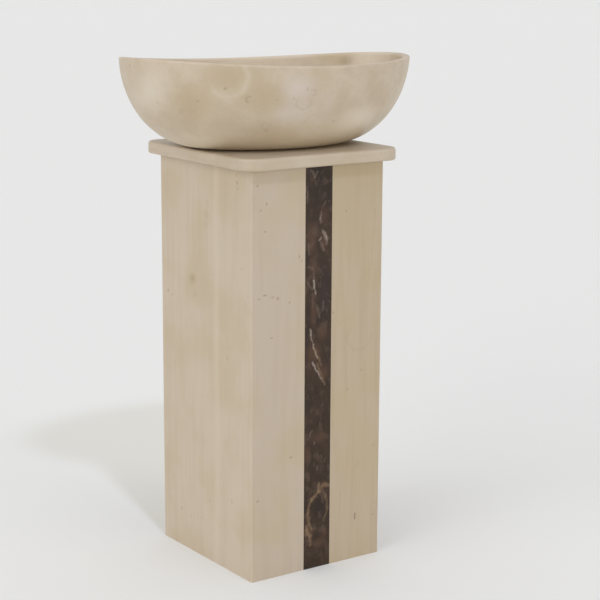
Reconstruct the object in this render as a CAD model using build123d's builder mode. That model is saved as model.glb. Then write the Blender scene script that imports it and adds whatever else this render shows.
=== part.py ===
"""Pedestal basin: an oval stone bowl on a slab and a hollow column of stone panels, with waste and trap.

Sizes are in millimetres. +Z is up and -Y is the front, where the dark strip is let into the column.
The origin is on the floor, straight below the centre of the drain.
"""
import os

from build123d import *

# Column: five mitred or butted panels round a hollow core
column_width = 260.0
column_depth = 280.0
column_height = 680.0
column_shift = -7.0
panel_thickness = 20.0
arris_radius = 3.0
strip_width = 53.0

# Slab that caps the column
slab_overhang = 22.5
slab_thickness = 20.0
slab_corner_radius = 30.0
slab_top_arris = 4.0
slab_bottom_arris = 3.0

# Bowl, carved from one block
bowl_length = 524.0
bowl_width = 361.0
bowl_height = 146.0
foot_length = 254.0
bowl_wall = 12.0
bowl_floor_thickness = 20.0
floor_fall = 3.0
rim_dip = 12.3
rim_fall_right = 4.0
rim_fall_back = 4.0
rim_spare = 1.0
lip_outer_radius = 3.0
lip_inner_radius = 5.5
bedding_thickness = 1.0
bedding_margin = 12.0

# Holes that the waste passes through
bowl_drain_radius = 22.5
slab_drain_radius = 25.0

# Waste: a G 1 1/4 barrel with a spider that carries the click cartridge
barrel_radius = 20.95
barrel_wall = 2.2
barrel_length = 92.0
flange_radius = 32.0
flange_thickness = 2.0
flange_seal_thickness = 1.5
flange_side_clearance = 1.0
mouth_radius = 20.5
mouth_depth = 6.0
spider_depth = 32.0
spider_height = 7.0
spider_arm_width = 3.0
spider_arm_count = 3
boss_radius = 8.5
spigot_radius = 5.0
thread_clearance = 0.15
lower_seal_radius = 30.0
lower_seal_thickness = 4.0
washer_thickness = 1.5
backnut_across_flats = 52.0
backnut_height = 10.0

# Click mechanism and plug
cartridge_radius = 8.0
cartridge_bore_radius = 6.4
cartridge_floor = 2.0
cartridge_height = 23.0
stem_radius = 3.0
stem_collar_radius = 5.9
stem_collar_thickness = 2.0
stem_tail = 5.5
moving_clearance = 0.3
plug_travel = 8.0
travel_reserve = 1.0
spring_wire_radius = 0.45
spring_wire_sides = 6
spring_turns = 5.0
cap_radius = 30.5
cap_rise = 1.5
cap_edge = 3.0
cap_dome = 2.5
cap_boss_radius = 7.0
cap_boss_depth = 8.0
plug_seal_thickness = 3.0

# Bottle trap
tube_radius = 16.0
tube_wall = 1.2
tube_clearance = 0.4
collar_radius = 20.0
collar_thickness = 2.5
inlet_washer_thickness = 2.5
nut_lip = 4.0
nut_wall = 4.5
nut_engagement = 12.0
nut_corner_ratio = 1.08
tube_exposed = 12.0
compression_seal_thickness = 5.0
neck_length = 13.0
head_radius = 30.0
head_wall = 3.0
head_height = 55.0
head_shoulder_radius = 8.0
outlet_drop = 27.0
outlet_neck_reach = 52.0
outlet_pipe_start = 36.0
outlet_pipe_reach = 40.0
socket_depth = 30.0
depth_mark_width = 1.5
depth_mark_depth = 0.4
skirt_length = 12.0
cup_wall = 2.8
cup_height = 90.0
cup_seal_thickness = 2.0
cup_base_radius = 10.0
cup_rib_count = 16
cup_rib_width = 2.0
cup_rib_proud = 2.0
cup_rib_height = 18.0
dip_above_cup_floor = 28.0

# Service opening in the back panel
opening_width = 130.0
opening_bottom = 140.0
opening_above_outlet = 61.0
opening_corner_radius = 30.0

# Inner stone battens and blocks that the panels and the slab are bonded to
batten_section = 25.0
batten_end_gap = 30.0
batten_arris = 3.0
strip_batten_lap = 30.0
strip_batten_thickness = 12.0
block_length = 70.0
block_thickness = 18.0
block_height = 24.0
block_clearance = 0.5

# Levels and radii worked out from the sizes above
slab_top = column_height + slab_thickness
bowl_base = slab_top + bedding_thickness
rim_level = bowl_base + bowl_height
flange_top = bowl_base + bowl_floor_thickness
flange_underside = flange_top - flange_thickness
recess_floor = flange_underside - flange_seal_thickness
barrel_bore_radius = barrel_radius - barrel_wall
barrel_end = flange_top - barrel_length
boss_top = flange_top - spider_depth
collar_top = barrel_end - inlet_washer_thickness
collar_bottom = collar_top - collar_thickness
inlet_nut_bottom = collar_bottom - nut_lip
head_nut_top = inlet_nut_bottom - tube_exposed
neck_top = head_nut_top - nut_lip - compression_seal_thickness
head_top = neck_top - neck_length
head_bottom = head_top - head_height
outlet_level = head_top - outlet_drop
opening_top = outlet_level + opening_above_outlet
cup_top = head_bottom - cup_seal_thickness
cup_bottom = cup_top - cup_height
cup_bore_radius = head_radius - cup_wall
threaded_bore_radius = barrel_radius + thread_clearance
tube_hole_radius = tube_radius + tube_clearance
half_width = column_width / 2
half_depth = column_depth / 2
half_strip = strip_width / 2
back_face = half_depth + column_shift
outlet_pipe_end = back_face + outlet_pipe_reach

column_plane = Plane((0, column_shift, 0))

os.makedirs("parts", exist_ok=True)


def save(builder, name):
    """Label a finished piece and write it under the same name."""
    builder.part.label = name
    export_step(builder.part, f"parts/{name}.step")


def ring(name, outer_radius, inner_radius, plane, height):
    """A flat washer or seal: its lower face lies on the plane."""
    with BuildPart() as washer:
        with BuildSketch(plane):
            Circle(outer_radius)
            Circle(inner_radius, mode=Mode.SUBTRACT)
        extrude(amount=height)
    save(washer, name)


def union_nut(name, plane, height, across_flats, bore_radius, hole_radius):
    """A hexagon nut whose plane is its open end; a lip at the far end leaves only a hole for the tube."""
    with BuildPart() as nut:
        with BuildSketch(plane):
            RegularPolygon(across_flats / 2, 6, major_radius=False)
            Circle(across_flats / 2 * nut_corner_ratio, mode=Mode.INTERSECT)
        extrude(amount=height)
        with BuildSketch(plane):
            Circle(bore_radius)
        extrude(amount=height - nut_lip, mode=Mode.SUBTRACT)
        with BuildSketch(plane):
            Circle(hole_radius)
        extrude(amount=height, mode=Mode.SUBTRACT)
    save(nut, name)


# The bowl. Its outside is turned with a quarter-ellipse wall and squeezed to an oval. The hollow keeps
# an even wall at the rim, so it is squeezed by a different amount. The rim is cut by one long saddle,
# high at both ends and low in the middle of the front and back, and its two edges are rounded. The
# saddle's arc is drawn to twice the bowl's length, where it stands four times its dip above its lowest
# point, so that it crosses the rim's level close to the bowl's two ends.
half_length = bowl_length / 2
half_foot = foot_length / 2
wall_top = rim_level + rim_fall_right + rim_spare
hollow_half_length = half_length - bowl_wall
hollow_squeeze = (bowl_width / 2 - bowl_wall) / hollow_half_length
floor_edge = flange_top + floor_fall
saddle_end = 3 * rim_dip
rim_plane = Plane(
    origin=(0, 0, rim_level),
    x_dir=(half_length, 0, -rim_fall_right),
    z_dir=(0, -bowl_width / 2, rim_fall_back),
)

with BuildPart() as bowl_hollow:
    with BuildSketch(Plane.XZ):
        with BuildLine():
            Polyline((0, wall_top), (0, flange_top), (half_foot, floor_edge))
            EllipticalCenterArc(
                (half_foot, wall_top),
                hollow_half_length - half_foot,
                wall_top - floor_edge,
                start_angle=-90,
                arc_size=90,
            )
            Line((hollow_half_length, wall_top), (0, wall_top))
        make_face()
    revolve(axis=Axis.Z)
    scale(by=(1, hollow_squeeze, 1))

with BuildPart() as basin_bowl:
    with BuildSketch(Plane.XZ):
        with BuildLine():
            Polyline((0, wall_top), (0, bowl_base), (half_foot, bowl_base))
            EllipticalCenterArc(
                (half_foot, wall_top),
                half_length - half_foot,
                wall_top - bowl_base,
                start_angle=-90,
                arc_size=90,
            )
            Line((half_length, wall_top), (0, wall_top))
        make_face()
    revolve(axis=Axis.Z)
    scale(by=(1, bowl_width / bowl_length, 1))
    add(bowl_hollow.part, mode=Mode.SUBTRACT)
    with BuildSketch(rim_plane):
        with BuildLine():
            ThreePointArc((-bowl_length, saddle_end), (0, -rim_dip), (bowl_length, saddle_end))
            Polyline(
                (bowl_length, saddle_end),
                (bowl_length, bowl_height),
                (-bowl_length, bowl_height),
                (-bowl_length, saddle_end),
            )
        make_face()
    extrude(amount=bowl_width, both=True, mode=Mode.SUBTRACT)
    rim_face = faces().filter_by(GeomType.CYLINDER).sort_by(Axis.Z)[-1]
    fillet(rim_face.edges().sort_by(SortBy.LENGTH)[-1], radius=lip_outer_radius)
    rim_face = faces().filter_by(GeomType.CYLINDER).sort_by(Axis.Z)[-1]
    fillet(rim_face.edges().sort_by(SortBy.LENGTH)[0], radius=lip_inner_radius)
    with BuildSketch(Plane.XY.offset(recess_floor)):
        Circle(flange_radius + flange_side_clearance)
    extrude(amount=bowl_floor_thickness, mode=Mode.SUBTRACT)
    with Locations((0, 0, recess_floor)):
        Hole(bowl_drain_radius)
save(basin_bowl, "basin_bowl")

# Thin bed of sealant between the bowl's foot and the slab.
with BuildPart() as bowl_bedding:
    with BuildSketch(Plane.XY.offset(slab_top)):
        Ellipse(half_foot - bedding_margin, half_foot * bowl_width / bowl_length - bedding_margin)
        Circle(slab_drain_radius, mode=Mode.SUBTRACT)
    extrude(amount=bedding_thickness)
save(bowl_bedding, "bowl_bedding")

# The slab: rounded plan corners, eased arrises and a hole for the waste.
with BuildPart() as top_slab:
    with BuildSketch(column_plane.offset(column_height)):
        RectangleRounded(
            column_width + 2 * slab_overhang,
            column_depth + 2 * slab_overhang,
            slab_corner_radius,
        )
    extrude(amount=slab_thickness)
    fillet(faces().sort_by(Axis.Z)[-1].edges(), radius=slab_top_arris)
    fillet(faces().sort_by(Axis.Z)[0].edges(), radius=slab_bottom_arris)
    with BuildSketch(Plane.XY.offset(column_height)):
        Circle(slab_drain_radius)
    extrude(amount=slab_thickness, mode=Mode.SUBTRACT)
save(top_slab, "top_slab")

# The panels. The column's four corners are mitred, and the front is a strip between two pale panels.
inner_half_width = half_width - panel_thickness
inner_half_depth = half_depth - panel_thickness
panel_corners = {
    "front_left_panel": [
        (-half_width, -half_depth),
        (-half_strip, -half_depth),
        (-half_strip, -inner_half_depth),
        (-inner_half_width, -inner_half_depth),
    ],
    "front_inlay_strip": [
        (-half_strip, -half_depth),
        (half_strip, -half_depth),
        (half_strip, -inner_half_depth),
        (-half_strip, -inner_half_depth),
    ],
    "front_right_panel": [
        (half_strip, -half_depth),
        (half_width, -half_depth),
        (inner_half_width, -inner_half_depth),
        (half_strip, -inner_half_depth),
    ],
    "left_side_panel": [
        (-half_width, half_depth),
        (-half_width, -half_depth),
        (-inner_half_width, -inner_half_depth),
        (-inner_half_width, inner_half_depth),
    ],
    "right_side_panel": [
        (half_width, -half_depth),
        (half_width, half_depth),
        (inner_half_width, inner_half_depth),
        (inner_half_width, -inner_half_depth),
    ],
    "back_panel": [
        (half_width, half_depth),
        (-half_width, half_depth),
        (-inner_half_width, inner_half_depth),
        (inner_half_width, inner_half_depth),
    ],
}

for name, corners in panel_corners.items():
    with BuildPart() as panel:
        with BuildSketch(column_plane):
            Polygon(*corners, align=None)
            RectangleRounded(column_width, column_depth, arris_radius, mode=Mode.INTERSECT)
        extrude(amount=column_height)
        if name == "back_panel":
            with BuildSketch(Plane.XZ.offset(-back_face)):
                with Locations((0, (opening_bottom + opening_top) / 2)):
                    RectangleRounded(opening_width, opening_top - opening_bottom, opening_corner_radius)
            extrude(amount=panel_thickness, mode=Mode.SUBTRACT)
    save(panel, name)

# Battens bonded into the four inner corners, with the arris that faces the trap eased.
batten_length = column_height - 2 * batten_end_gap
batten_x = inner_half_width - batten_section / 2
batten_y = inner_half_depth - batten_section / 2
batten_places = {
    "corner_batten_front_left": (-batten_x, -batten_y),
    "corner_batten_front_right": (batten_x, -batten_y),
    "corner_batten_back_left": (-batten_x, batten_y),
    "corner_batten_back_right": (batten_x, batten_y),
}
for name, (x, y) in batten_places.items():
    with BuildPart() as batten:
        with BuildSketch(column_plane.offset(batten_end_gap)):
            with Locations((x, y)):
                Rectangle(batten_section, batten_section)
        extrude(amount=batten_length)
        inner_edge = edges().filter_by(Axis.Z).sort_by_distance((0, column_shift, column_height / 2))[0]
        chamfer(inner_edge, length=batten_arris)
    save(batten, name)

# Wide batten that bridges both joints of the dark strip from behind.
with BuildPart() as strip_backing_batten:
    with BuildSketch(column_plane.offset(batten_end_gap)):
        with Locations((0, -inner_half_depth + strip_batten_thickness / 2)):
            Rectangle(strip_width + 2 * strip_batten_lap, strip_batten_thickness)
    extrude(amount=batten_length)
save(strip_backing_batten, "strip_backing_batten")

# Blocks bonded under the slab, just inside the panels, that keep it from sliding.
block_x = inner_half_width - block_clearance - block_thickness / 2
block_y = inner_half_depth - block_clearance - block_thickness / 2
block_places = {
    "slab_block_front": (0, -block_y, block_length, block_thickness),
    "slab_block_back": (0, block_y, block_length, block_thickness),
    "slab_block_left": (-block_x, 0, block_thickness, block_length),
    "slab_block_right": (block_x, 0, block_thickness, block_length),
}
for name, (x, y, size_x, size_y) in block_places.items():
    with BuildPart() as block:
        with BuildSketch(column_plane.offset(column_height - block_height)):
            with Locations((x, y)):
                Rectangle(size_x, size_y)
        extrude(amount=block_height)
    save(block, name)

# Waste body: flange with a conical mouth, barrel, and a spider with a threaded boss.
with BuildPart() as waste_body:
    with BuildSketch(Plane.XZ):
        with BuildLine():
            Polyline(
                (mouth_radius, flange_top),
                (flange_radius, flange_top),
                (flange_radius, flange_underside),
                (barrel_radius, flange_underside),
                (barrel_radius, barrel_end),
                (barrel_bore_radius, barrel_end),
                (barrel_bore_radius, flange_top - mouth_depth),
                close=True,
            )
        make_face()
    revolve(axis=Axis.Z)
    with BuildSketch(Plane.XY.offset(boss_top - spider_height)):
        Circle(boss_radius)
        with PolarLocations(0, spider_arm_count):
            with Locations(((boss_radius + barrel_bore_radius) / 2, 0)):
                Rectangle(barrel_radius - boss_radius, spider_arm_width)
        Circle(spigot_radius + thread_clearance, mode=Mode.SUBTRACT)
    extrude(amount=spider_height)
save(waste_body, "waste_body")

ring(
    "flange_seal",
    flange_radius - flange_side_clearance,
    bowl_drain_radius,
    Plane.XY.offset(recess_floor),
    flange_seal_thickness,
)

# Below the slab the waste is pulled tight by a seal, a washer and a backnut.
lower_seal_bottom = column_height - lower_seal_thickness
washer_bottom = lower_seal_bottom - washer_thickness
ring(
    "lower_seal",
    lower_seal_radius,
    threaded_bore_radius,
    Plane.XY.offset(lower_seal_bottom),
    lower_seal_thickness,
)
ring(
    "slip_washer",
    lower_seal_radius,
    threaded_bore_radius,
    Plane.XY.offset(washer_bottom),
    washer_thickness,
)
with BuildPart() as backnut:
    with BuildSketch(Plane.XY.offset(washer_bottom - backnut_height)):
        RegularPolygon(backnut_across_flats / 2, 6, major_radius=False)
        Circle(threaded_bore_radius, mode=Mode.SUBTRACT)
    extrude(amount=backnut_height)
save(backnut, "backnut")

# Click cartridge: a hollow barrel that screws into the spider, with the stem's hole in its top.
cartridge_top = boss_top + cartridge_height
with BuildPart() as click_cartridge:
    with BuildSketch(Plane.XY.offset(boss_top)):
        Circle(cartridge_radius)
    extrude(amount=cartridge_height)
    with BuildSketch(Plane.XY.offset(boss_top + cartridge_floor)):
        Circle(cartridge_bore_radius)
    extrude(amount=cartridge_height - 2 * cartridge_floor, mode=Mode.SUBTRACT)
    with BuildSketch(Plane.XY.offset(boss_top)):
        Circle(spigot_radius)
    extrude(amount=-spider_height)
    with BuildSketch(Plane.XY.offset(cartridge_top)):
        Circle(stem_radius + moving_clearance)
    extrude(amount=-cartridge_floor, mode=Mode.SUBTRACT)
save(click_cartridge, "click_cartridge")

# Plug stem. Its collar stops under the cartridge's top when the plug is up, and sits on the spring.
collar_underside = cartridge_top - cartridge_floor - travel_reserve - plug_travel - stem_collar_thickness
cap_underside = flange_top + cap_rise
with BuildPart() as plug_stem:
    with BuildSketch(Plane.XY.offset(collar_underside - stem_tail)):
        Circle(stem_radius)
    extrude(amount=cap_underside - collar_underside + stem_tail)
    with BuildSketch(Plane.XY.offset(collar_underside)):
        Circle(stem_collar_radius)
    extrude(amount=stem_collar_thickness)
save(plug_stem, "plug_stem")

# Spring between the cartridge's floor and the stem's collar, drawn with the plug down.
spring_space = collar_underside - boss_top - cartridge_floor - 2 * moving_clearance
spring_height = spring_space - 2 * spring_wire_radius
spring_radius = (stem_radius + cartridge_bore_radius) / 2
spring_start = boss_top + cartridge_floor + moving_clearance + spring_wire_radius
with BuildPart() as click_spring:
    with BuildLine():
        coil = Helix(
            pitch=spring_height / spring_turns,
            height=spring_height,
            radius=spring_radius,
            center=(0, 0, spring_start),
        )
    with BuildSketch(Plane(origin=coil @ 0, z_dir=coil % 0)):
        RegularPolygon(spring_wire_radius, spring_wire_sides)
    sweep(is_frenet=True)
save(click_spring, "click_spring")

# Plug cap: a shallow dome over the flange, with a boss below that holds the stem.
with BuildPart() as plug_cap:
    with BuildSketch(Plane.XZ):
        with BuildLine():
            Polyline(
                (0, cap_underside + cap_edge + cap_dome),
                (0, cap_underside),
                (cap_radius, cap_underside),
                (cap_radius, cap_underside + cap_edge),
            )
            TangentArc(
                (0, cap_underside + cap_edge + cap_dome),
                (cap_radius, cap_underside + cap_edge),
                tangent=(1, 0),
            )
        make_face()
    revolve(axis=Axis.Z)
    rim_circles = edges().filter_by(GeomType.CIRCLE).sort_by(SortBy.LENGTH)[-2:]
    fillet(rim_circles.sort_by(Axis.Z)[-1], radius=cap_edge / 2)
    with BuildSketch(Plane.XY.offset(cap_underside)):
        Circle(cap_boss_radius)
        Circle(stem_radius, mode=Mode.SUBTRACT)
    extrude(amount=-cap_boss_depth)
save(plug_cap, "plug_cap")

# Plug seal: a rubber cone that closes the flange's mouth.
mouth_slope = (mouth_radius - barrel_bore_radius) / mouth_depth
seal_top_radius = mouth_radius - moving_clearance * 2
seal_bottom = cap_underside - plug_seal_thickness
seal_bottom_radius = seal_top_radius - mouth_slope * (flange_top - seal_bottom)
with BuildPart() as plug_seal:
    with BuildSketch(Plane.XZ):
        with BuildLine():
            Polyline(
                (cap_boss_radius, cap_underside),
                (seal_top_radius, cap_underside),
                (seal_top_radius, flange_top),
                (seal_bottom_radius, seal_bottom),
                (cap_boss_radius, seal_bottom),
                close=True,
            )
        make_face()
    revolve(axis=Axis.Z)
save(plug_seal, "plug_seal")

# Trap inlet: a union nut draws the dip tube's collar and a washer up against the barrel's end.
nut_across_flats = 2 * (threaded_bore_radius + nut_wall)
ring(
    "inlet_washer",
    collar_radius,
    tube_radius - tube_wall,
    Plane.XY.offset(collar_top),
    inlet_washer_thickness,
)
union_nut(
    "inlet_nut",
    Plane(origin=(0, 0, barrel_end + nut_engagement), z_dir=(0, 0, -1)),
    barrel_end + nut_engagement - inlet_nut_bottom,
    nut_across_flats,
    threaded_bore_radius,
    tube_hole_radius,
)
dip_tube_end = cup_bottom + dip_above_cup_floor
with BuildPart() as dip_tube:
    with BuildSketch(Plane.XY.offset(dip_tube_end)):
        Circle(tube_radius)
    extrude(amount=collar_top - dip_tube_end)
    with BuildSketch(Plane.XY.offset(collar_bottom)):
        Circle(collar_radius)
    extrude(amount=collar_thickness)
    with BuildSketch(Plane.XY.offset(dip_tube_end)):
        Circle(tube_radius - tube_wall)
    extrude(amount=collar_top - dip_tube_end, mode=Mode.SUBTRACT)
save(dip_tube, "dip_tube")

# Trap head: a chamber with a threaded neck above, a threaded outlet neck behind and a skirt for the cup.
outlet_plane = Plane(origin=(0, 0, outlet_level), x_dir=(1, 0, 0), z_dir=(0, 1, 0))
chamber_radius = head_radius - head_wall
with BuildPart() as trap_head:
    with BuildSketch(Plane.XY.offset(head_bottom)):
        Circle(head_radius)
    extrude(amount=head_height)
    fillet(edges().group_by(Axis.Z)[-1], radius=head_shoulder_radius)
    with BuildSketch(Plane.XY.offset(head_top)):
        Circle(barrel_radius)
    extrude(amount=neck_length)
    with BuildSketch(Plane.XY.offset(head_bottom)):
        Circle(cup_bore_radius - thread_clearance)
    extrude(amount=-skirt_length)
    with BuildSketch(outlet_plane):
        Circle(barrel_radius)
    extrude(amount=outlet_neck_reach)
    with BuildSketch(Plane.XY.offset(head_bottom - skirt_length)):
        Circle(chamber_radius - cup_wall)
    extrude(amount=skirt_length + head_height - head_wall - head_shoulder_radius, mode=Mode.SUBTRACT)
    with BuildSketch(Plane.XY.offset(head_bottom)):
        Circle(tube_hole_radius)
    extrude(amount=head_height + neck_length, mode=Mode.SUBTRACT)
    with BuildSketch(outlet_plane):
        Circle(tube_hole_radius)
    extrude(amount=outlet_neck_reach, mode=Mode.SUBTRACT)
save(trap_head, "trap_head")

ring(
    "head_seal",
    barrel_radius,
    tube_radius,
    Plane.XY.offset(neck_top),
    compression_seal_thickness,
)
compression_nut_height = nut_engagement + compression_seal_thickness + nut_lip
union_nut(
    "head_nut",
    Plane.XY.offset(neck_top - nut_engagement),
    compression_nut_height,
    nut_across_flats,
    threaded_bore_radius,
    tube_hole_radius,
)

# Outlet: the pipe slides into the outlet neck and is gripped by its own seal and nut. A shallow ring
# rolled into its free end marks how deep it goes into the socket in the wall.
ring(
    "outlet_seal",
    barrel_radius,
    tube_radius,
    outlet_plane.offset(outlet_neck_reach),
    compression_seal_thickness,
)
union_nut(
    "outlet_nut",
    outlet_plane.offset(outlet_neck_reach - nut_engagement),
    compression_nut_height,
    nut_across_flats,
    threaded_bore_radius,
    tube_hole_radius,
)
with BuildPart() as outlet_pipe:
    with BuildSketch(outlet_plane.offset(outlet_pipe_start)):
        Circle(tube_radius)
        Circle(tube_radius - tube_wall, mode=Mode.SUBTRACT)
    extrude(amount=outlet_pipe_end - outlet_pipe_start)
    with BuildSketch(outlet_plane.offset(outlet_pipe_end - socket_depth)):
        Circle(tube_radius)
        Circle(tube_radius - depth_mark_depth, mode=Mode.SUBTRACT)
    extrude(amount=-depth_mark_width, mode=Mode.SUBTRACT)
save(outlet_pipe, "outlet_pipe")

# Trap cup: screws on to the skirt against its seal, with ribs round its base for grip.
ring("cup_seal", head_radius, cup_bore_radius, Plane.XY.offset(cup_top), cup_seal_thickness)
with BuildPart() as trap_cup:
    with BuildSketch(Plane.XY.offset(cup_bottom)):
        Circle(head_radius)
    extrude(amount=cup_height)
    fillet(edges().group_by(Axis.Z)[0], radius=cup_base_radius)
    with BuildSketch(Plane.XY.offset(cup_bottom + cup_base_radius)):
        with PolarLocations(head_radius, cup_rib_count):
            Rectangle(2 * cup_rib_proud, cup_rib_width)
    extrude(amount=cup_rib_height)
    with BuildSketch(Plane.XY.offset(cup_bottom + cup_base_radius)):
        Circle(cup_bore_radius)
    extrude(amount=cup_height, mode=Mode.SUBTRACT)
    with BuildSketch(Plane.XY.offset(cup_bottom + cup_wall)):
        Circle(cup_bore_radius - cup_base_radius)
    extrude(amount=cup_base_radius, mode=Mode.SUBTRACT)
save(trap_cup, "trap_cup")
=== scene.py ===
import math

import bpy
from mathutils import Matrix, Vector


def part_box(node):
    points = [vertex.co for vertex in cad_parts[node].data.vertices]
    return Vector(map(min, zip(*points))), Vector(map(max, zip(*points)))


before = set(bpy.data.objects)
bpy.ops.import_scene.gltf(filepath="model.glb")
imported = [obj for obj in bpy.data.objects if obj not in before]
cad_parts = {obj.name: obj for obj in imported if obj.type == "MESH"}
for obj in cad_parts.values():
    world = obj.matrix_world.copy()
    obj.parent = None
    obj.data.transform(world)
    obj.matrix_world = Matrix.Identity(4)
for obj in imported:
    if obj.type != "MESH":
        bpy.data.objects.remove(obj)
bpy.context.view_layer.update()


# Left and right side panels. They are 20 mm boards of honed cream marble, cut with the vein
# upright, mitred at the corners and bonded to battens. Honing leaves a satin face with soft upright
# streaks, a few olive smudges and small open pits. Places, sizes and pattern scales are in mm.
MM = 0.001
ALONG_Z = (1, 1, 0.05)  # draws a pattern out along the upright vein
PIT_STRETCH = (1, 1, 0.45)
GRAIN_MM = 3.5  # the real grain is under 1 mm, too fine to show, so it is drawn this coarse
HONED_ROUGHNESS = 0.45
MIX_FACTOR, MIX_FROM, MIX_TO, MIX_RESULT = 0, 6, 7, 2  # colour sockets of a Mix node


def linear(hex_colour):
    """The linear RGBA value of an sRGB hex colour."""
    channels = [int(hex_colour[i : i + 2], 16) / 255 for i in (1, 3, 5)]
    return [c / 12.92 if c <= 0.04045 else ((c + 0.055) / 1.055) ** 2.4 for c in channels] + [1]


def add_node(tree, kind, links=None, **settings):
    """Add a node. A socket among the links joins that input, and any other value is set on it."""
    node = tree.nodes.new(kind)
    for name, value in settings.items():
        setattr(node, name, value)
    for place, value in (links or {}).items():
        if isinstance(value, bpy.types.NodeSocket):
            tree.links.new(value, node.inputs[place])
        else:
            node.inputs[place].default_value = value
    return node


def tint_stone(stone, measure, colour, amount, full=0.35, none=1.0):
    """Colour the stone by the amount where the measure is at full, and not where it is at none."""
    tree = stone["tree"]
    links = {"Value": measure, "From Min": none, "From Max": full, "To Min": 0.0, "To Max": amount}
    mask = add_node(tree, "ShaderNodeMapRange", links, interpolation_type="SMOOTHSTEP").outputs[0]
    links = {MIX_FACTOR: mask, MIX_FROM: stone["colour"], MIX_TO: linear(colour)}
    mix = add_node(tree, "ShaderNodeMix", links, data_type="RGBA")
    stone["colour"] = mix.outputs[MIX_RESULT]
    return mask


def pit(stone, measure, colour, amount):
    """Colour the stone where the measure is low, and sink it there."""
    links = {0: stone["pits"], 1: tint_stone(stone, measure, colour, amount)}
    deeper = add_node(stone["tree"], "ShaderNodeMath", links, operation="MAXIMUM")
    stone["pits"] = deeper.outputs[0]


def mottle(stone, size_mm, stretch=(1, 1, 1)):
    """Measure of cloudy mottling, mostly 0.3 to 0.7. A stretch under 1 draws that axis out."""
    links = {"Vector": stone["place"], "Scale": stretch}
    place = add_node(stone["tree"], "ShaderNodeMapping", links).outputs[0]
    links = {"Vector": place, "Scale": 1 / (size_mm * MM), "Detail": 3.0, "Roughness": 0.55}
    return add_node(stone["tree"], "ShaderNodeTexNoise", links).outputs["Fac"]


def start_stone(
    name,
    body,
    cloud,
    streak,
    vein_stretch=ALONG_Z,
    streak_mm=9,
    cloud_mm=110,
    streak_amount=0.35,
):
    """Body of a stone: clouds of a second colour, streaks along the vein and fine grain."""
    wander_mm, turn_mm = 7, 8  # how far the edge of a mark wanders, and how soon it turns back
    material = bpy.data.materials.new(name)
    material.use_nodes = True
    tree = material.node_tree
    place = add_node(tree, "ShaderNodeTexCoord").outputs["Object"]
    links = {"Vector": place, "Scale": 1 / (turn_mm * MM), "Detail": 2.0}
    noise = add_node(tree, "ShaderNodeTexNoise", links).outputs["Color"]
    links = {0: noise, 1: [wander_mm * MM] * 3, 2: [-wander_mm * MM / 2] * 3}
    shift = add_node(tree, "ShaderNodeVectorMath", links, operation="MULTIPLY_ADD").outputs[0]
    ragged = add_node(tree, "ShaderNodeVectorMath", {0: place, 1: shift}, operation="ADD")
    stone = {
        "material": material,
        "tree": tree,
        "place": place,
        "ragged": ragged.outputs[0],
        "colour": linear(body),
        "pits": 0.0,
    }
    tint_stone(stone, mottle(stone, cloud_mm), cloud, amount=1.0, full=0.66, none=0.38)
    streaks = mottle(stone, streak_mm, vein_stretch)
    tint_stone(stone, streaks, streak, streak_amount, full=0.72, none=0.42)
    tint_stone(stone, mottle(stone, GRAIN_MM), streak, amount=0.14, full=0.75, none=0.35)
    return stone


def offset_from(stone, point):
    """Vector in metres from a point in mm to the shaded spot, ragged as natural marks are."""
    links = {0: stone["ragged"], 1: Vector(point) * MM}
    return add_node(stone["tree"], "ShaderNodeVectorMath", links, operation="SUBTRACT").outputs[0]


def spot(stone, centre, reach):
    """Measure of a spot: 0 at its centre and 1 at its half sizes. All are in mm."""
    tree = stone["tree"]
    links = {0: offset_from(stone, centre), 1: Vector(reach) * MM}
    offset = add_node(tree, "ShaderNodeVectorMath", links, operation="DIVIDE").outputs[0]
    length = add_node(tree, "ShaderNodeVectorMath", {0: offset}, operation="LENGTH")
    return length.outputs["Value"]


def vein(stone, start, end, half_width):
    """Measure of a line of mineral: 0 on the line and 1 at its half width. All are in mm."""
    tree = stone["tree"]
    run = (Vector(end) - Vector(start)) * MM
    offset = offset_from(stone, start)
    links = {0: offset, 1: run / run.length_squared}
    along = add_node(tree, "ShaderNodeVectorMath", links, operation="DOT_PRODUCT").outputs["Value"]
    along = add_node(tree, "ShaderNodeClamp", {0: along}).outputs[0]
    links = {0: run, "Scale": along}
    nearest = add_node(tree, "ShaderNodeVectorMath", links, operation="SCALE").outputs[0]
    links = {0: offset, 1: nearest}
    gap = add_node(tree, "ShaderNodeVectorMath", links, operation="DISTANCE").outputs["Value"]
    links = {0: gap, 1: half_width * MM}
    return add_node(tree, "ShaderNodeMath", links, operation="DIVIDE").outputs[0]


def scattered_pits(stone, stretch, colour, spacing_mm=26, share=0.3):
    """Small open pits, one in a share of the cells of a loose grid."""
    radius = 0.075  # of the size of a cell
    tree = stone["tree"]
    links = {"Vector": stone["ragged"], "Scale": stretch}
    place = add_node(tree, "ShaderNodeMapping", links).outputs[0]
    links = {"Vector": place, "Scale": 1 / (spacing_mm * MM)}
    cells = add_node(tree, "ShaderNodeTexVoronoi", links)
    chance = add_node(tree, "ShaderNodeSeparateColor", {0: cells.outputs["Color"]}).outputs[0]
    links = {0: chance, 1: share}
    left_out = add_node(tree, "ShaderNodeMath", links, operation="GREATER_THAN").outputs[0]
    links = {0: cells.outputs["Distance"], 1: 1 / radius, 2: left_out}
    measure = add_node(tree, "ShaderNodeMath", links, operation="MULTIPLY_ADD").outputs[0]
    pit(stone, measure, colour, amount=0.4)


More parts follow.
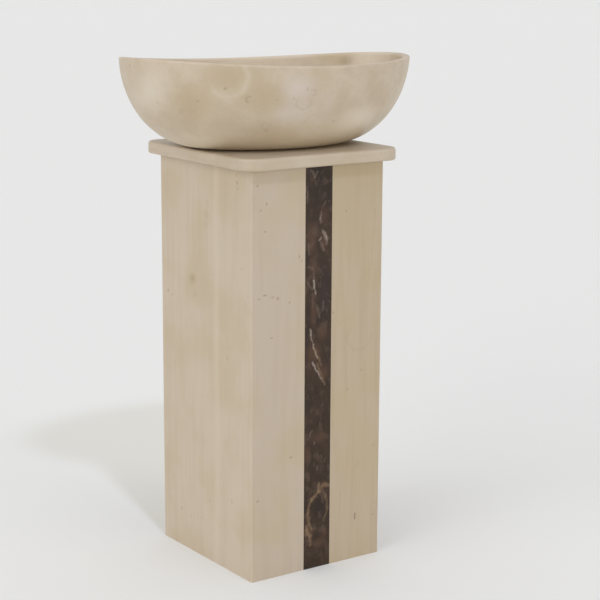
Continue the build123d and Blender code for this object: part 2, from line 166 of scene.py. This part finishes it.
def finish_stone(stone, roughness, *names, shine=0.5):
    """Close a stone material, with its satin gloss and dull sunk pits, and put it on pieces."""
    patch_mm, patch_contrast = 30, 0.06  # hands and cloths leave patches of more and less gloss
    pit_dullness, pit_depth_mm, grain_relief = 0.5, 0.4, 0.08
    marble_ior = 1.5
    tree = stone["tree"]
    shader = tree.nodes["Principled BSDF"]
    tree.links.new(stone["colour"], shader.inputs["Base Color"])
    links = {
        "Value": mottle(stone, patch_mm),
        "From Min": 0.3,
        "From Max": 0.7,
        "To Min": roughness - patch_contrast,
        "To Max": roughness + patch_contrast,
    }
    gloss = add_node(tree, "ShaderNodeMapRange", links).outputs[0]
    links = {0: stone["pits"], 1: pit_dullness, 2: gloss}
    gloss = add_node(tree, "ShaderNodeMath", links, operation="MULTIPLY_ADD").outputs[0]
    tree.links.new(gloss, shader.inputs["Roughness"])
    shader.inputs["IOR"].default_value = marble_ior
    shader.inputs["Specular IOR Level"].default_value = shine
    links = {0: mottle(stone, GRAIN_MM), 1: grain_relief}
    level = add_node(tree, "ShaderNodeMath", links, operation="MULTIPLY").outputs[0]
    links = {0: level, 1: stone["pits"]}
    level = add_node(tree, "ShaderNodeMath", links, operation="SUBTRACT").outputs[0]
    links = {"Strength": 0.5, "Distance": pit_depth_mm * MM, "Height": level}
    tree.links.new(add_node(tree, "ShaderNodeBump", links).outputs[0], shader.inputs["Normal"])
    dress(stone["material"], *names)


def dress(material, *names):
    """Give CAD pieces their finish."""
    for name in names:
        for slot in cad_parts[name].material_slots:
            slot.material = material


left_low, left_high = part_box("left_side_panel")
left_face, panel_top = left_low.x / MM, left_high.z / MM
left_marble = start_stone("honed_cream_marble_left", "#c3b49f", "#beac92", "#b5a48a")
band_start, band_end = (left_face, -42, 0), (left_face, -42, panel_top)
pale_band = vein(left_marble, band_start, band_end, half_width=14)
tint_stone(left_marble, pale_band, "#cbbda8", amount=0.45, full=0.1)
smudge_depth, pit_depth = 12, 4  # how far each reaches into the stone
# Each smudge: place along the panel and up, half sizes the same way, colour and amount.
smudges = [
    (31, 480, 17, 14, "#9c8a63", 0.6),
    (38, 472, 20, 18, "#ad9d7b", 0.35),
    (24, 455, 9, 10, "#a6946f", 0.35),
    (-12, 594, 12, 12, "#a6946f", 0.35),
    (-10, 576, 9, 10, "#a6946f", 0.3),
    (-16, 612, 8, 12, "#a6946f", 0.25),
    (10, 590, 30, 40, "#bcaa88", 0.3),
]
for along, up, half_along, half_up, colour, amount in smudges:
    smudge = spot(left_marble, (left_face, along, up), (smudge_depth, half_along, half_up))
    tint_stone(left_marble, smudge, colour, amount, full=0.0)
# Each pit: place along the panel and up, half sizes the same way, and amount.
left_face_pits = [
    (-104, 668, 2.6, 5.0, 0.45),
    (-106, 656, 3.4, 4.0, 0.5),
    (-107, 647, 3.0, 3.4, 0.5),
    (112, 446, 4.0, 3.5, 0.45),
    (98, 440, 3.0, 3.0, 0.35),
    (-76, 364, 2.4, 6.0, 0.45),
    (-118, 520, 3.0, 3.0, 0.35),
    (-88, 124, 2.4, 7.0, 0.45),
    (73, 66, 4.0, 4.0, 0.45),
    (-20, 105, 3.0, 6.0, 0.3),
]
for along, up, half_along, half_up, amount in left_face_pits:
    measure = spot(left_marble, (left_face, along, up), (pit_depth, half_along, half_up))
    pit(left_marble, measure, "#9a896b", amount)
scattered_pits(left_marble, PIT_STRETCH, "#a5957a", share=0.45)
finish_stone(left_marble, HONED_ROUGHNESS, "left_side_panel")

right_marble = start_stone("honed_cream_marble_right", "#c3b39f", "#bdab90", "#b3a288")
scattered_pits(right_marble, PIT_STRETCH, "#a5957a")
finish_stone(right_marble, HONED_ROUGHNESS, "right_side_panel")


# Back panel. The same marble with a service opening cut through it with a router, so that the trap
# can be reached and the waste pipe can pass to the wall. It is honed less than the panels on show.
BACK_ROUGHNESS = 0.5
back_marble = start_stone("honed_cream_marble_back", "#c1b19b", "#bba98d", "#b19f84")
scattered_pits(back_marble, PIT_STRETCH, "#a29174")
finish_stone(back_marble, BACK_ROUGHNESS, "back_panel")


# Front panels, to the left and right of the dark strip. The left one is a cooler, pinkish piece
# with scattered pits, and the right one a warmer tan with a faint arc of a shell. Both are honed
# marble, mitred at their outer edges and bonded to the battens.
front_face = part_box("front_inlay_strip")[0].y / MM
front_pit_depth = 3
front_left_marble = start_stone(
    "honed_cream_marble_front_left", "#bcac99", "#b9a88d", "#b1a086", streak_mm=12
)
# Each pit: place across the front and up, and half sizes the same way.
left_panel_pits = [
    (-101, 625, 2.6, 3.6),
    (-113, 615, 4.0, 2.2),
    (-119, 655, 2.5, 2.5),
    (-104, 581, 3.0, 2.4),
    (-38, 534, 3.0, 4.0),
    (-33, 527, 2.2, 3.0),
    (-104, 478, 7.0, 2.4),
    (-90, 474, 5.0, 2.0),
    (-79, 471, 2.6, 3.0),
    (-116, 473, 5.0, 2.0),
    (-58, 462, 2.5, 2.5),
    (-92, 408, 3.0, 2.4),
    (-53, 202, 3.0, 3.0),
    (-118, 138, 4.0, 3.0),
]
for across, up, half_across, half_up in left_panel_pits:
    reach = (half_across, front_pit_depth, half_up)
    measure = spot(front_left_marble, (across, front_face, up), reach)
    pit(front_left_marble, measure, "#937f66", amount=0.6)
scattered_pits(front_left_marble, (1, 1, 0.7), "#a39278", spacing_mm=22)
finish_stone(front_left_marble, HONED_ROUGHNESS, "front_left_panel")


def arc(stone, centre, radius, half_width, towards):
    """Measure of part of a ring, as of a cut shell. Only the side that looks towards shows."""
    tree = stone["tree"]
    offset = offset_from(stone, centre)
    gap = add_node(tree, "ShaderNodeVectorMath", {0: offset}, operation="LENGTH").outputs["Value"]
    links = {0: gap, 1: radius * MM}
    gap = add_node(tree, "ShaderNodeMath", links, operation="SUBTRACT").outputs[0]
    gap = add_node(tree, "ShaderNodeMath", {0: gap}, operation="ABSOLUTE").outputs[0]
    links = {0: offset, 1: Vector(towards).normalized() / (-radius * MM)}
    away = add_node(tree, "ShaderNodeVectorMath", links, operation="DOT_PRODUCT").outputs["Value"]
    away = add_node(tree, "ShaderNodeMath", {0: away, 1: 0.0}, operation="MAXIMUM").outputs[0]
    links = {0: gap, 1: 1 / (half_width * MM), 2: away}
    return add_node(tree, "ShaderNodeMath", links, operation="MULTIPLY_ADD").outputs[0]


front_right_marble = start_stone("honed_tan_marble_front_right", "#b5a384", "#b7a58d", "#a89576")
olive_cloud = spot(front_right_marble, (75, front_face, 640), (80, 30, 150))
tint_stone(front_right_marble, olive_cloud, "#b09d7c", amount=0.5)
shell_centre = (84, front_face, 388)
shell = arc(front_right_marble, shell_centre, radius=24, half_width=4, towards=(-0.3, 0, -1))
tint_stone(front_right_marble, shell, "#a99777", amount=0.35, full=0.0)
# Each streak: place across the front, bottom and top. All lean a little to the right.
streak_lean, streak_half_width = 2, 2.4
for across, bottom, top in ((89, 540, 552), (112, 560, 600), (108, 505, 560), (83, 162, 172)):
    line_start, line_end = (across, front_face, bottom), (across + streak_lean, front_face, top)
    tan_streak = vein(front_right_marble, line_start, line_end, streak_half_width)
    tint_stone(front_right_marble, tan_streak, "#a08e6c", amount=0.35, full=0.1)
chip_start, chip_end = (79, front_face, 79), (79.5, front_face, 70)
chip = vein(front_right_marble, chip_start, chip_end, half_width=2.2)
pit(front_right_marble, chip, "#776757", amount=0.8)
for across, up in ((56, 600), (31, 435), (116, 195), (118, 70), (89, 329), (60, 300)):
    measure = spot(front_right_marble, (across, front_face, up), (2.6, front_pit_depth, 3))
    pit(front_right_marble, measure, "#96856a", amount=0.55)
scattered_pits(front_right_marble, (1, 1, 0.6), "#9d8c6e", spacing_mm=24)
finish_stone(front_right_marble, HONED_ROUGHNESS, "front_right_panel")


# Dark strip let in flush between the front panels: brown marble, broken in the ground and healed
# with white and tan calcite. The calcite shows as dim clouds, short bright veins, a tan ring and
# fine curly cracks. It takes a smoother hone than the cream marble.
STRIP_ROUGHNESS = 0.38
STRIP_SHINE = 0.2
CRACK_SHARPNESS = 60
LONG_CELLS = (1, 1, 0.7)
inlay_marble = start_stone(
    "honed_brown_marble",
    "#35281f",
    "#3f2f24",
    "#2a2019",
    vein_stretch=(1, 1, 0.35),
    streak_mm=14,
    cloud_mm=40,
    streak_amount=0.5,
)
cloud_depth = 12
# Each cloud: place across the front and up, and half sizes the same way.
brown_clouds = [
    (-14, 560, 14, 40),
    (-12, 515, 14, 18),
    (10, 600, 14, 24),
    (12, 556, 13, 22),
    (-10, 440, 10, 40),
    (8, 405, 14, 20),
    (-8, 372, 20, 24),
    (12, 335, 16, 18),
    (5, 226, 24, 14),
    (-20, 200, 9, 24),
    (14, 142, 14, 10),
    (-18, 90, 7, 34),
    (-14, 60, 12, 18),
    (4, 42, 18, 14),
    (16, 60, 9, 12),
]
for across, up, half_across, half_up in brown_clouds:
    cloud = spot(inlay_marble, (across, front_face, up), (half_across, cloud_depth, half_up))
    tint_stone(inlay_marble, cloud, "#614635", amount=0.5, full=0.0)
core_of_ring = spot(inlay_marble, (4, front_face, 104), (17, 14, 27))
tint_stone(inlay_marble, core_of_ring, "#2b211b", amount=0.85)
cool_middle = spot(inlay_marble, (12, front_face, 470), (14, 14, 60))
tint_stone(inlay_marble, cool_middle, "#33292a", amount=0.5)
dark_top = spot(inlay_marble, (6, front_face, 650), (36, 14, 74))
tint_stone(inlay_marble, dark_top, "#261c15", amount=0.6, full=0.3)
flecks = mottle(inlay_marble, 13, LONG_CELLS)
tint_stone(inlay_marble, flecks, "#5d4b3f", amount=0.45, full=0.72, none=0.5)

# The curly cracks run where one mottling crosses its middle value, but only where another is high.
inlay_tree = inlay_marble["tree"]
links = {0: mottle(inlay_marble, 26, LONG_CELLS), 1: 0.5}
cracks = add_node(inlay_tree, "ShaderNodeMath", links, operation="SUBTRACT").outputs[0]
cracks = add_node(inlay_tree, "ShaderNodeMath", {0: cracks}, operation="ABSOLUTE").outputs[0]
links = {
    "Value": mottle(inlay_marble, 35),
    "From Min": 0.42,
    "From Max": 0.6,
    "To Min": 1.0,
    "To Max": 0.0,
}
healed = add_node(inlay_tree, "ShaderNodeMapRange", links).outputs[0]
links = {0: cracks, 1: CRACK_SHARPNESS, 2: healed}
cracks = add_node(inlay_tree, "ShaderNodeMath", links, operation="MULTIPLY_ADD").outputs[0]
tint_stone(inlay_marble, cracks, "#786354", amount=0.25, full=0.0)

# Each vein: its start and end, both across the front and up, its half width and its amount.
dim_veins = [
    (-15, 673, -8, 661, 3.4, 0.45),
    (-8, 661, -3, 669, 3.2, 0.4),
    (-24, 645, -23, 628, 3.6, 0.4),
    (-23, 628, -23, 620, 2.6, 0.3),
    (8, 612, 14, 620, 3.0, 0.25),
    (5, 603, 2, 592, 3.6, 0.45),
    (2, 592, 4, 586, 3.6, 0.55),
    (8, 574, 14, 558, 4.0, 0.5),
    (14, 566, 17, 550, 3.6, 0.45),
    (0, 557, 5, 562, 3.6, 0.5),
    (5, 552, 11, 540, 4.4, 0.45),
    (14, 550, 20, 560, 3.4, 0.4),
    (-21, 552, -18, 536, 3.4, 0.35),
    (-20, 516, -12, 512, 3.6, 0.3),
    (-10, 508, -9, 492, 3.0, 0.35),
    (-21, 490, -12, 478, 3.0, 0.3),
    (-3, 450, 2, 430, 3.4, 0.35),
    (10, 455, 10, 442, 4.0, 0.3),
    (-10, 470, -12, 450, 4.0, 0.2),
    (-15, 233, -11, 240, 3.4, 0.4),
    (-7, 219, -6, 216, 3.6, 0.4),
    (-1, 176, 0, 172, 3.8, 0.3),
    (-7, 184, -7, 178, 3.0, 0.2),
]
tan_veins = [
    (-8, 380, 6, 350, 4.2, 0.35),
    (-2, 352, 14, 316, 3.8, 0.4),
    (3, 146, 4, 132, 4.6, 0.55),
    (4, 132, -12, 120, 4.2, 0.55),
    (-12, 120, -19, 98, 4.6, 0.4),
    (-19, 98, -15, 78, 4.8, 0.35),
    (-15, 78, -11, 68, 4.2, 0.45),
    (8, 140, 18, 122, 4.2, 0.3),
    (18, 122, 22, 100, 4.0, 0.25),
    (22, 100, 15, 80, 3.8, 0.3),
    (12, 142, 24, 140, 5.8, 0.45),
    (-22, 70, -14, 58, 5.2, 0.5),
    (-14, 58, -13, 42, 5.0, 0.4),
    (-20, 76, -21, 60, 4.8, 0.4),
]
bright_veins = [
    (5, 598, 3, 594, 2.6, 0.3),
    (10, 572, 14, 560, 2.8, 0.4),
    (15, 564, 16, 556, 2.8, 0.35),
    (1, 558, 4, 561, 2.6, 0.35),
    (-9, 492, -8, 480, 3.2, 0.7),
    (-8, 480, -5, 470, 2.4, 0.5),
    (-16, 412, -15, 402, 3.2, 0.55),
    (-15, 402, -8, 380, 2.2, 0.5),
    (-8, 380, -2, 362, 2.0, 0.55),
    (-11, 356, -5, 344, 2.8, 0.6),
    (-5, 344, 7, 326, 2.4, 0.6),
]
for colour, full, lines in (
    ("#7b6b61", 0.0, dim_veins),
    ("#8c7256", 0.0, tan_veins),
    ("#a99b8e", 0.05, bright_veins),
):
    for start_across, start_up, end_across, end_up, half_width, amount in lines:
        line_start = (start_across, front_face, start_up)
        line_end = (end_across, front_face, end_up)
        measure = vein(inlay_marble, line_start, line_end, half_width)
        tint_stone(inlay_marble, measure, colour, amount, full)
finish_stone(inlay_marble, STRIP_ROUGHNESS, "front_inlay_strip", shine=STRIP_SHINE)


# Battens and blocks inside the column: offcuts of the same marble, sawn and left unhoned, bonded
# behind the corners, behind the strip and under the slab. Sawing leaves a dull face with fine
# level lines.
SAWN_ROUGHNESS = 0.75
sawn_marble = start_stone(
    "sawn_cream_marble",
    "#bfb3a0",
    "#b5a791",
    "#a89a84",
    vein_stretch=(1, 1, 6),
    streak_mm=12,
    cloud_mm=80,
)
scattered_pits(sawn_marble, (1, 1, 1), "#948570", spacing_mm=20)
finish_stone(
    sawn_marble,
    SAWN_ROUGHNESS,
    "corner_batten_front_left",
    "corner_batten_front_right",
    "corner_batten_back_left",
    "corner_batten_back_right",
    "strip_backing_batten",
    "slab_block_front",
    "slab_block_back",
    "slab_block_left",
    "slab_block_right",
)


# Slab on top of the column: one 20 mm board of the same marble, with rounded corners and eased
# arrises, bonded over its locating blocks. Its vein lies flat, so its edges show level streaks
# and its top shows broad clouds.
SLAB_ROUGHNESS = 0.42
slab_marble = start_stone(
    "honed_cream_marble_slab",
    "#beaf9a",
    "#b7a78e",
    "#b09f86",
    vein_stretch=(0.08, 0.08, 1),
    streak_mm=7,
    cloud_mm=90,
)
scattered_pits(slab_marble, (0.6, 0.6, 1), "#a5957b", spacing_mm=24)
finish_stone(slab_marble, SLAB_ROUGHNESS, "top_slab")


# Bed of sealant under the bowl's foot: stone-coloured silicone, pressed out to a thin even film
# between the bowl and the slab. It has faint soft clouds where it was spread.
SEALANT_CLOUD_MM = 6
SEALANT_ROUGHNESS = 0.5
sealant = bpy.data.materials.new("stone_coloured_silicone")
sealant.use_nodes = True
sealant_tree = sealant.node_tree
place = add_node(sealant_tree, "ShaderNodeTexCoord").outputs["Object"]
links = {"Vector": place, "Scale": 1 / (SEALANT_CLOUD_MM * MM)}
clouds = add_node(sealant_tree, "ShaderNodeTexNoise", links).outputs["Fac"]
links = {MIX_FACTOR: clouds, MIX_FROM: linear("#cbc2b2"), MIX_TO: linear("#beb4a2")}
clouds = add_node(sealant_tree, "ShaderNodeMix", links, data_type="RGBA").outputs[MIX_RESULT]
sealant_shader = sealant_tree.nodes["Principled BSDF"]
sealant_tree.links.new(clouds, sealant_shader.inputs["Base Color"])
sealant_shader.inputs["Roughness"].default_value = SEALANT_ROUGHNESS
dress(sealant, "bowl_bedding")


# Bowl: carved from one block of cream marble, honed inside and out, and clamped to the slab by the
# waste. The block shows cloudy mottling with faint arcs of shells, and inside the rear wall an
# olive-brown stain. Paler patches on its lower part, its lower right flank and its rear wall near
# the rim are painted light, standing for bounce light from below and light falling in from above.
BOWL_ROUGHNESS = 0.4
bowl_marble = start_stone(
    "honed_cream_marble_bowl",
    "#c5b59f",
    "#bdab92",
    "#b2a188",
    vein_stretch=(0.6, 0.6, 1),
    streak_mm=16,
    cloud_mm=55,
    streak_amount=0.3,
)
tint_stone(bowl_marble, mottle(bowl_marble, 8), "#b3a48b", amount=0.3, full=0.75, none=0.4)
# Each patch: its centre, its half sizes, its colour and its amount. The first three patches are
# painted light, paler where bounce light and light from above fall.
patches = [
    # Painted light: the bowl's lower part paler all round, for light bounced up from the floor and
    # slab.
    ((0, 0, 706), (330, 330, 60), "#dfcfb3", 0.8),
    # Painted light: the lower right flank paler, for low light from the front right.
    ((74, -135, 744), (86, 52, 46), "#e0d3c0", 0.8),
    # Painted light: the rear wall near the rim paler, for light falling into the bowl from above.
    ((60, 150, 820), (260, 70, 70), "#d4c5ad", 0.55),
    ((235, 30, 835), (40, 70, 40), "#d8cab4", 0.6),
    ((-57, -172, 805), (46, 40, 36), "#cbbfb4", 0.75),
    ((-60, -160, 768), (46, 44, 28), "#cbbfb4", 0.6),
    ((-5, -168, 775), (36, 40, 40), "#c3b5a4", 0.45),
    ((-166, -138, 828), (60, 54, 34), "#ae9b79", 0.6),
    ((-204, -100, 785), (52, 58, 52), "#b09c7a", 0.65),
    ((-110, -150, 796), (52, 36, 50), "#b29f7f", 0.7),
    ((-105, -140, 745), (44, 40, 30), "#b7a587", 0.4),
    ((-245, -30, 805), (26, 70, 70), "#d5cab8", 0.75),
    ((205, 94, 829), (50, 44, 22), "#b3a27e", 0.6),
    ((217, 79, 824), (20, 20, 14), "#8f7d58", 0.5),
]
for centre, reach, colour, amount in patches:
    tint_stone(bowl_marble, spot(bowl_marble, centre, reach), colour, amount, full=0.0)
# Each arc: its centre, radius and half width, the side that shows, its colour and its amount.
shell_arcs = [
    ((-133, -146, 791), 4.5, 3.2, (-1, 0, 0.3), "#8d7c63", 0.38),
    ((-31, -173, 798), 5, 3.2, (1, 0, 0.4), "#96866e", 0.3),
    ((-45, -168, 784), 13, 3.8, (-0.3, 0, -1), "#a09079", 0.27),
    ((-97, -137, 748), 7, 4.0, (-0.4, 0, -1), "#a08f72", 0.25),
    ((-211, -78, 769), 4, 3.0, (-1, 0.3, 0.5), "#9d8d73", 0.3),
    ((-165, -137, 824), 30, 8.0, (1, -0.5, -1), "#c9bca6", 0.45),
]
for centre, radius, half_width, towards, colour, amount in shell_arcs:
    measure = arc(bowl_marble, centre, radius, half_width, towards)
    tint_stone(bowl_marble, measure, colour, amount, full=0.0)
# Each pit: its centre, its radius and its amount.
bowl_pits = [
    ((-169, -132, 808), 4.0, 0.4),
    ((-200, -102, 787), 3.4, 0.35),
    ((-238, -46, 783), 3.4, 0.35),
    ((-261, -2, 838), 3.0, 0.45),
    ((-42, -173, 804), 3.0, 0.3),
    ((-64, -166, 789), 2.6, 0.3),
    ((-94, -134, 738), 3.0, 0.4),
    ((22, -154, 748), 3.4, 0.35),
    ((-91, -160, 788), 2.6, 0.3),
]
for centre, radius, amount in bowl_pits:
    pit(bowl_marble, spot(bowl_marble, centre, [radius] * 3), "#8d7d64", amount)
scattered_pits(bowl_marble, (1, 1, 1), "#9d8d73", spacing_mm=24)
finish_stone(bowl_marble, BOWL_ROUGHNESS, "basin_bowl")


# Waste, trap and outlet. The bodies, nuts and pipes are brass castings and tube under bright chrome
# plate, screwed together over their seals. The plate mirrors its surroundings, with a faint haze
# of fingerprints and water marks.
MARK_DULLNESS = 1.8  # how many times rougher a mark is


def smooth_finish(name, colour, shade, roughness, mark_mm, metallic=1.0):
    """A smooth material with soft marks that vary its colour and its gloss."""
    material = bpy.data.materials.new(name)
    material.use_nodes = True
    tree = material.node_tree
    place = add_node(tree, "ShaderNodeTexCoord").outputs["Object"]
    links = {"Vector": place, "Scale": 1 / (mark_mm * MM), "Detail": 3.0}
    marks = add_node(tree, "ShaderNodeTexNoise", links).outputs["Fac"]
    links = {MIX_FACTOR: marks, MIX_FROM: linear(colour), MIX_TO: linear(shade)}
    tint = add_node(tree, "ShaderNodeMix", links, data_type="RGBA").outputs[MIX_RESULT]
    links = {
        "Value": marks,
        "From Min": 0.35,
        "From Max": 0.75,
        "To Min": roughness,
        "To Max": roughness * MARK_DULLNESS,
    }
    gloss = add_node(tree, "ShaderNodeMapRange", links).outputs[0]
    shader = tree.nodes["Principled BSDF"]
    shader.inputs["Metallic"].default_value = metallic
    tree.links.new(tint, shader.inputs["Base Color"])
    tree.links.new(gloss, shader.inputs["Roughness"])
    return material


chrome = smooth_finish("bright_chrome_plate", "#d9dadc", "#cfd1d4", roughness=0.06, mark_mm=18)
dress(
    chrome,
    "waste_body",
    "plug_cap",
    "inlet_nut",
    "dip_tube",
    "trap_head",
    "head_nut",
    "outlet_nut",
    "outlet_pipe",
    "trap_cup",
)


# Backnut, click cartridge and plug stem: turned from brass bar and left bare, with the colour of a
# slight tarnish. The nut is screwed up under the slab, and the other two sit in the waste.
brass = smooth_finish("turned_brass", "#c9a45c", "#b08a45", roughness=0.22, mark_mm=6)
dress(brass, "backnut", "click_cartridge", "plug_stem")


# Spring of the click plug: drawn stainless wire, coiled cold and held between the cartridge's floor
# and the stem's collar. Drawing leaves a dull sheen.
spring_steel = smooth_finish(
    "drawn_stainless_wire", "#b4b4b6", "#a0a0a3", roughness=0.3, mark_mm=2
)
dress(spring_steel, "click_spring")


# Seals of black moulded rubber, dull with a slight bloom, pressed between the pieces they seal. The
# slip washer between the lower seal and the backnut is moulded in white plastic.
rubber = smooth_finish(
    "moulded_black_rubber", "#232323", "#2d2c2b", roughness=0.55, mark_mm=5, metallic=0.0
)
dress(
    rubber,
    "flange_seal",
    "lower_seal",
    "plug_seal",
    "inlet_washer",
    "head_seal",
    "outlet_seal",
    "cup_seal",
)
white_plastic = smooth_finish(
    "moulded_white_polythene", "#dededa", "#d4d4cf", roughness=0.45, mark_mm=8, metallic=0.0
)
dress(white_plastic, "slip_washer")


# Floor: a plain pale matt studio floor, which isn't part of the object. It is so much larger than
# the view, 60 m to each side, that its edge never shows.
FLOOR_HALF_WIDTH = 60
bpy.ops.object.select_all(action="DESELECT")
bpy.ops.mesh.primitive_plane_add(size=2 * FLOOR_HALF_WIDTH)
floor = bpy.context.object
floor.name = "studio_floor"
floor_paint = bpy.data.materials.new("pale_matt_floor")
floor_paint.use_nodes = True
floor_shader = floor_paint.node_tree.nodes["Principled BSDF"]
floor_shader.inputs["Base Color"].default_value = linear("#f0efea")
floor_shader.inputs["Roughness"].default_value = 0.9
floor_shader.inputs["Specular IOR Level"].default_value = 0.1
floor.data.materials.append(floor_paint)


# Studio light: a small cool light high in front, broad low ones at the left and in front, a broad
# one overhead, and an even surround. The surround lights the stone dimly, while the camera and
# mirror-like metal see it as a pale wall.
SURROUND_LIGHT = 0.42
world = bpy.data.worlds.new("studio_surround")
bpy.context.scene.world = world
world.use_nodes = True
sky = world.node_tree
rays = add_node(sky, "ShaderNodeLightPath").outputs
links = {0: rays["Is Camera Ray"], 1: rays["Is Glossy Ray"]}
seen = add_node(sky, "ShaderNodeMath", links, operation="MAXIMUM").outputs[0]
links = {0: seen, 1: rays["Is Transmission Ray"]}
seen = add_node(sky, "ShaderNodeMath", links, operation="MAXIMUM").outputs[0]
links = {MIX_FACTOR: seen, MIX_FROM: [SURROUND_LIGHT] * 3 + [1], MIX_TO: linear("#e5e5e5")}
surround = add_node(sky, "ShaderNodeMix", links, data_type="RGBA").outputs[MIX_RESULT]
sky.links.new(surround, sky.nodes["Background"].inputs["Color"])


def studio_sun(name, towards, strength, spread_degrees, colour="#ffffff"):
    """A distant soft light that stands in the given direction."""
    light = bpy.data.lights.new(name, "SUN")
    light.color = linear(colour)[:3]
    light.energy = strength
    light.angle = math.radians(spread_degrees)
    lamp = bpy.data.objects.new(name, light)
    lamp.rotation_euler = Vector(towards).to_track_quat("Z", "Y").to_euler()
    bpy.context.scene.collection.objects.link(lamp)


studio_sun("front_softbox", (-0.15, -0.66, 0.74), 0.62, 5, "#d0dcff")
studio_sun("left_softbox", (-0.95, -0.15, 0.2), 1.62, 60)
studio_sun("right_softbox", (0.35, -0.93, 0.03), 1.21, 36, "#fffdf6")
studio_sun("top_softbox", (0.1, 0.1, 1.0), 0.78, 60)


# Camera: in front and to the left, a little above the rim. Its place in metres, its angles in
# degrees and its lens were solved from the photograph's straight edges.
CAMERA_PLACE = (-1.5593, -2.3179, 1.0235)
CAMERA_TURN = -35.05
CAMERA_TILT = 90 - 11.93
CAMERA_ROLL = 0.30
CAMERA_LENS_MM = 100.785
SENSOR_WIDTH_MM = 36
FARTHEST_SEEN = 200
camera = bpy.data.objects.new("camera", bpy.data.cameras.new("camera"))
camera.data.lens = CAMERA_LENS_MM
camera.data.sensor_width = SENSOR_WIDTH_MM
camera.data.clip_end = FARTHEST_SEEN
camera.matrix_world = (
    Matrix.Translation(CAMERA_PLACE)
    @ Matrix.Rotation(math.radians(CAMERA_TURN), 4, "Z")
    @ Matrix.Rotation(math.radians(CAMERA_TILT), 4, "X")
    @ Matrix.Rotation(math.radians(CAMERA_ROLL), 4, "Z")
)
bpy.context.scene.collection.objects.link(camera)
bpy.context.scene.camera = camera
bpy.context.scene.view_settings.view_transform = "Standard"
